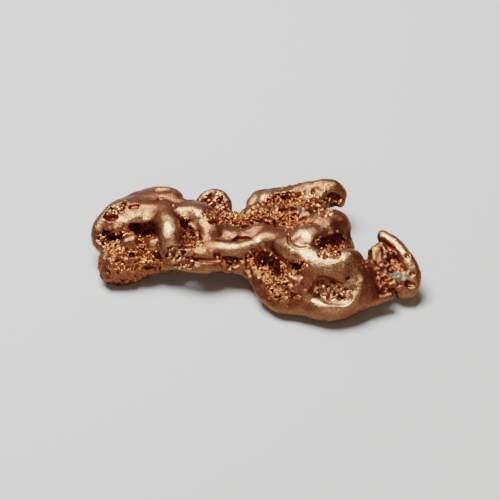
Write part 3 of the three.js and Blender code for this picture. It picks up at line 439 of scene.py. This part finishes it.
def set_crystals(field, where, count, smallest, largest, seed, cut=False):
    """Joins crystals to the field, or cuts their prints out of it, at random cells of the mask.

    A crystal is a turned, slightly stretched cube with its corners taken off: the larger of the
    farthest of |x|, |y|, |z| and their sum over CRYSTAL_CORNERS, less its size.
    """
    random = np.random.default_rng(seed)
    cells = np.argwhere(where)
    seats = cells[random.integers(0, len(cells), count)]
    centres = seats * CELL + BOX_LOW + random.uniform(-0.5, 0.5, (count, 3)) * CELL
    turns = random_turns(random, count)
    sizes = smallest + (largest - smallest) * random.uniform(0, 1, count) ** 2
    stretch = random.uniform(0.7, 1.3, (count, 3))
    reach = int(largest * CRYSTAL_REACH / CELL) + 1
    span = np.arange(-reach, reach + 1)
    around = np.stack(np.meshgrid(span, span, span, indexing="ij"), -1).reshape(-1, 3)
    flat = field.ravel()
    for first in range(0, count, CRYSTAL_BATCH):
        part = slice(first, first + CRYSTAL_BATCH)
        spots = seats[part, None] + around
        inside = np.all((spots >= 0) & (spots < SHAPE), axis=-1)
        offsets = spots * CELL + BOX_LOW - centres[part, None]
        local = np.abs(np.einsum("nij,nkj->nki", turns[part], offsets)) / stretch[part, None]
        distance = np.maximum(local.max(-1), local.sum(-1) / CRYSTAL_CORNERS) - sizes[part, None]
        index = np.ravel_multi_index(tuple(np.moveaxis(spots[inside], -1, 0)), SHAPE)
        if cut:
            np.maximum.at(flat, index, -distance[inside].astype(np.float32))
        else:
            np.minimum.at(flat, index, distance[inside].astype(np.float32))
    return flat.reshape(SHAPE)


def zero_surface(field):
    """Surface net: one point in each cell that the surface crosses, at the mean of its crossings on the
    cell's edges, and one four-sided face round each grid edge that the surface crosses."""
    inside = field < 0
    cells = tuple(n - 1 for n in SHAPE)
    total = np.zeros(cells + (3,), np.float32)
    count = np.zeros(cells, np.uint8)
    crossings = []
    for a in range(3):
        b, c = (a + 1) % 3, (a + 2) % 3
        first = tuple(slice(0, -1) if axis == a else slice(None) for axis in range(3))
        last = tuple(slice(1, None) if axis == a else slice(None) for axis in range(3))
        crossed = inside[first] != inside[last]
        crossings.append((crossed, inside[first]))
        share = np.where(crossed, field[first] / np.where(crossed, field[first] - field[last], 1), 0)
        for at_b, at_c in np.ndindex(2, 2):
            part = [slice(None)] * 3
            part[b] = slice(at_b, SHAPE[b] - 1 + at_b)
            part[c] = slice(at_c, SHAPE[c] - 1 + at_c)
            part = tuple(part)
            total[..., a] += share[part]
            total[..., b] += at_b * crossed[part]
            total[..., c] += at_c * crossed[part]
            count += crossed[part]
    used = count > 0
    number = np.full(cells, -1, np.int64)
    number[used] = np.arange(used.sum())
    points = (np.argwhere(used) + total[used] / count[used][:, None]) * CELL + BOX_LOW
    faces = []
    for a, (crossed, starts_inside) in enumerate(crossings):
        b, c = (a + 1) % 3, (a + 2) % 3
        edges = np.argwhere(crossed)
        step_b, step_c = np.eye(3, dtype=int)[[b, c]]
        ring = [edges - step_b - step_c, edges - step_c, edges, edges - step_b]
        quads = np.stack([number[tuple(cell.T)] for cell in ring], 1)
        outward = starts_inside[tuple(edges.T)]
        faces.append(np.where(outward[:, None], quads, quads[:, ::-1]))
    return points, np.vstack(faces)


def solid_share(field, reach):
    """The share of solid in a cube round each grid point: over half in a dip, under half on a crest.
    A cube's total is the difference of two running sums, taken along each axis in turn."""
    share = (field < 0).astype(np.float32)
    n = round(reach / CELL)
    for axis in range(3):
        share = np.moveaxis(share, axis, 0)
        running = np.cumsum(np.pad(share, [(n + 1, n), (0, 0), (0, 0)]), axis=0)
        share = np.moveaxis((running[2 * n + 1:] - running[:-2 * n - 1]) / (2 * n + 1), 0, axis)
    return share


def smoothstep(low, high, value):
    """0 up to low, 1 from high on, and an S-shaped rise between."""
    t = np.clip((value - low) / (high - low), 0, 1)
    return t * t * (3 - 2 * t)


# ---- the nugget ----
def make_nugget():
    """The nugget's mesh, with what its material needs to know at each point."""
    ridges = bars([at_height(path) for path in RIDGES.values()], RIDGE_FILLET)
    ridges += 0.2 * noise(3.2, 11) + 0.1 * noise(1.3, 12) + 0.04 * noise(0.6, 13)
    heart = bars([at_height(path) for path in HEART.values()], HEART_FILLET)
    heart += 0.38 * noise(1.8, 3) + 0.3 * noise(0.9, 4) + 0.22 * noise(0.5, 9)
    heart += 0.9 * np.clip(noise(1.1, 31) - 0.3, 0, 1)
    whole = blend(ridges, heart, SKIN_FILLET)
    hollows = bars([under_skin(whole, path) for path in HOLLOWS.values()], HOLLOW_FILLET)
    seams = bars([under_skin(whole, path) for path in SEAMS.values()], HOLLOW_FILLET)
    gold = bars([under_skin(whole, path) for path in GOLD_SEAMS.values()], HOLLOW_FILLET)
    patina = bars([under_skin(whole, path) for path in PATINA.values()], HOLLOW_FILLET)
    glossy_highlight_paint = bars([under_skin(whole, path) for path in GLOSSY_HIGHLIGHT_PAINT.values()], HOLLOW_FILLET)
    rough = 1 - smoothstep(-0.3, 0.5, np.minimum(seams, gold))
    body = np.maximum(whole, -hollows) + rough * (0.28 * noise(0.8, 41) + 0.18 * noise(0.45, 42))
    around = solid_share(body, CREVICE_REACH)
    skin = np.abs(body) < SKIN_DEPTH
    patchy = 0.5 * noise(1.2, 22)
    in_seam = skin & (seams < patchy)
    in_gold = skin & (gold < patchy)
    body = set_crystals(body, in_seam, 2600, 0.14, 0.42, seed=5, cut=True)
    body = set_crystals(body, in_seam, 900, 0.12, 0.32, seed=6)
    body = set_crystals(body, in_gold, 700, 0.2, 0.6, seed=7, cut=True)
    body = set_crystals(body, in_gold, 250, 0.2, 0.55, seed=8)
    body = np.maximum(body, FLAT_DEPTH - AXES[2][None, None, :]).astype(np.float32)
    points, faces = zero_surface(body)
    worn = 1 - smoothstep(-0.1, 0.2, sample(ridges, points) - sample(heart, points))
    in_hollow = 1 - smoothstep(0.0, 0.3, sample(hollows, points))
    near_seam = 1 - smoothstep(-0.2, 0.4, sample(seams, points))
    near_gold = 1 - smoothstep(-0.2, 0.4, sample(gold, points))
    share = sample(around, points)
    # The share of solid tells crevices, which get painted shade, from convex crests, which get a painted
    # highlight.
    painted_crevice_shade, crest = smoothstep(0.53, 0.75, share), 1 - smoothstep(0.34, 0.48, share)
    near_patina = 1 - smoothstep(-0.5, 0.5, sample(patina, points))
    marks = {"worn": worn, "hollow": in_hollow, "seam": near_seam, "gold": near_gold,
             "patina": near_patina, "painted_crevice_shade": painted_crevice_shade, "crest": crest,
             "glossy_highlight_paint": 1 - smoothstep(-1.2, 0.8, sample(glossy_highlight_paint, points))}
    return points, faces, marks


def place_on_cad(points):
    """Moves the points so that the flats are at z = 0 and the box has the CAD solid's middle."""
    low, high = points.min(0), points.max(0)
    cad_middle = (np.array(cad_low) + np.array(cad_high)) / 2 / MM
    shift = cad_middle - (low + high) / 2
    shift[2] = -FLAT_DEPTH
    return points + shift, shift


# ---- materials ----
def srgb(code):
    """A hex colour as Blender's linear red, green, blue and alpha."""
    value = np.array([int(code[i:i + 2], 16) for i in (1, 3, 5)]) / 255
    linear = np.where(value <= 0.04045, value / 12.92, ((value + 0.055) / 1.055) ** 2.4)
    return (*linear.tolist(), 1.0)


def add_node(tree, kind, inputs=None, **settings):
    """Adds a node; inputs maps a socket's name or number to a value or to another node's socket."""
    node = tree.nodes.new("ShaderNode" + kind)
    for name, value in settings.items():
        setattr(node, name, value)
    for name, value in (inputs or {}).items():
        if isinstance(value, bpy.types.NodeSocket):
            tree.links.new(value, node.inputs[name])
        else:
            node.inputs[name].default_value = value
    return node


def new_material(name):
    """An empty material: its tree and its surface shader."""
    material = bpy.data.materials.new(name)
    material.use_nodes = True
    return material, material.node_tree, material.node_tree.nodes["Principled BSDF"]


def native_copper():
    """Native copper, a bare metal: rubbed ridges a satin brown, grown crystals brighter and more orange.

    Broad and fine mottling is tarnish. Convex crests are painted lighter and the glossy places a pale
    cream, both painted highlights; crevices are painted darker and redder as painted shade, and hollows
    redder as painted red bounce light. The spots of grey-green patina are mineral, so they are hardly
    metallic.
    """
    material, tree, shader = new_material("native_copper")

    def mark(name):
        return add_node(tree, "Attribute", attribute_name=name).outputs["Fac"]

    def mix(share, a, b):
        node = add_node(tree, "Mix", {"Factor": share, "A": a, "B": b}, data_type="RGBA")
        return node.outputs["Result"]

    def noise(scale, detail, roughness=0.5):
        return add_node(tree, "TexNoise", {"Vector": place, "Scale": scale / MM, "Detail": detail,
                                           "Roughness": roughness}).outputs["Fac"]

    def ramp(value, low, high, start=0.0, end=1.0):
        return add_node(tree, "MapRange", {"Value": value, "From Min": low, "From Max": high,
                                           "To Min": start, "To Max": end}).outputs["Result"]

    place = add_node(tree, "TexCoord").outputs["Object"]
    # Ridges are a satin brown; where the surface is a convex crest it is painted lighter, a painted
    # highlight.
    colour = mix(mark("worn"), srgb("#A2684A"), mix(mark("crest"), srgb("#966149"), srgb("#AC7852")))
    colour = mix(ramp(noise(0.25, 3), 0.4, 0.7, 0.0, 0.5), colour, srgb("#7C4C33"))
    # A pale cream laid on the glossy places: painted highlight.
    colour = mix(mark("glossy_highlight_paint"), colour, srgb("#D8A87E"))
    colour = mix(ramp(noise(3.5, 3), 0.35, 0.62, 0.75, 0.0), colour, srgb("#613824"))
    colour = mix(ramp(noise(6.5, 2), 0.33, 0.48, 0.6, 0.0), colour, srgb("#4F2E1E"))
    grown = mix(ramp(noise(2.2, 3), 0.42, 0.6), srgb("#A2522E"), srgb("#CC9464"))
    grown = mix(ramp(noise(4.5, 2), 0.34, 0.5, 0.8, 0.0), grown, srgb("#46200F"))
    colour = mix(mark("seam"), colour, grown)
    # Hollows tinted redder: painted red bounce light.
    colour = mix(ramp(mark("hollow"), 0.3, 1.0, 0.0, 0.15), colour, srgb("#96502E"))
    # Crevices darkened to a deep red-brown: painted shade.
    colour = mix(ramp(mark("painted_crevice_shade"), 0.0, 1.0, 0.0, 0.6), colour, srgb("#4E2413"))
    colour = mix(ramp(mark("gold"), 0.0, 1.0, 0.0, 0.85), colour, srgb("#BE8A62"))
    patina = ramp(noise(1.2, 4), 0.3, 0.5, 0.0, mark("patina"))
    colour = mix(patina, colour, srgb("#4C4D40"))
    tree.links.new(colour, shader.inputs["Base Color"])
    tree.links.new(ramp(patina, 0.0, 1.0, 1.0, 0.1), shader.inputs["Metallic"])
    low = ramp(mark("glossy_highlight_paint"), 0.0, 1.0, ramp(mark("seam"), 0.0, 1.0, 0.32, 0.2), 0.24)
    gloss = ramp(noise(1.2, 4, 0.7), 0.3, 0.7, low, 0.48)
    tree.links.new(gloss, shader.inputs["Roughness"])
    grain = add_node(tree, "Bump", {"Height": noise(2.6, 4, 0.6), "Strength": 0.6, "Distance": 0.18 * MM})
    facets = add_node(tree, "Bump", {"Height": noise(4, 1), "Strength": mark("seam"),
                                     "Distance": 0.2 * MM, "Normal": grain.outputs["Normal"]})
    tree.links.new(facets.outputs["Normal"], shader.inputs["Normal"])
    return material


def pale_paper():
    """Matt coated paper: one pale warm grey."""
    material, _, shader = new_material("pale_paper")
    shader.inputs["Base Color"].default_value = srgb("#B6B4AE")
    shader.inputs["Roughness"].default_value = 0.85
    return material


# ---- making the pieces ----
points, faces, marks = make_nugget()
points, shift = place_on_cad(points)

mesh = bpy.data.meshes.new("nugget_copper")
mesh.from_pydata((points * MM).tolist(), [], faces.tolist())
for name, values in marks.items():
    mesh.attributes.new(name, "FLOAT", "POINT").data.foreach_set("value", values.astype(np.float32))
mesh.polygons.foreach_set("use_smooth", np.maximum(marks["seam"], marks["gold"])[faces].mean(1) < 0.5)
mesh.update()
mesh.materials.append(native_copper())
nugget = bpy.data.objects.new("nugget_copper", mesh)
bpy.context.scene.collection.objects.link(nugget)
fewer = nugget.modifiers.new("fewer_faces", "DECIMATE")
fewer.ratio = 0.5
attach(nugget, "root")
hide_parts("nugget")

# ---- the sheet it lies on ----
half = 1.5
sheet = bpy.data.meshes.new("sheet")
corners = [(-half, -half, 0), (half, -half, 0), (half, half, 0), (-half, half, 0)]
sheet.from_pydata(corners, [], [(0, 1, 2, 3)])
sheet.materials.append(pale_paper())
floor = bpy.data.objects.new("sheet", sheet)
bpy.context.scene.collection.objects.link(floor)
floor.location.z = -0.02 * MM


# ---- camera and light ----
def aim(thing, target):
    """Turns an object's -Z axis towards a point, with its Y axis up."""
    thing.rotation_euler = (Vector(target) - thing.location).to_track_quat("-Z", "Y").to_euler()


CAMERA_DISTANCE = 0.6
VIEW_WIDTH = 0.1
SENSOR = 36.0
lens = bpy.data.cameras.new("camera")
lens.sensor_width = SENSOR
lens.lens = SENSOR * CAMERA_DISTANCE / VIEW_WIDTH
camera = bpy.data.objects.new("camera", lens)
bpy.context.scene.collection.objects.link(camera)
target = (-1.0 * ACROSS + 3.6 * UP_BOARD + shift) * MM
camera.location = Vector(target + CAMERA_DISTANCE * OFF_BOARD)
aim(camera, target)
bpy.context.scene.camera = camera


def soft_light(name, place, width, depth, watts, tint="#FFFFFF"):
    """A rectangular soft light aimed at the nugget."""
    data = bpy.data.lights.new(name, "AREA")
    data.shape = "RECTANGLE"
    data.size = width
    data.size_y = depth
    data.energy = watts
    data.color = srgb(tint)[:3]
    light = bpy.data.objects.new(name, data)
    bpy.context.scene.collection.objects.link(light)
    light.location = place
    aim(light, (0, 0, 0))


soft_light("top", (-0.12, 0.1, 0.49), 0.28, 0.28, 6.3, "#F1F6FF")
soft_light("front", (0.1, -0.8, 0.3), 0.8, 0.5, 1.4)
soft_light("window", (-0.1, 0.7, 0.3), 1.0, 0.5, 0.4)

world = bpy.data.worlds.new("room")
world.use_nodes = True
world.node_tree.nodes["Background"].inputs["Color"].default_value = srgb("#DCAC86")
world.node_tree.nodes["Background"].inputs["Strength"].default_value = 0.2
bpy.context.scene.world = world
bpy.context.scene.view_settings.view_transform = "Filmic"
bpy.context.scene.view_settings.look = "Medium High Contrast"
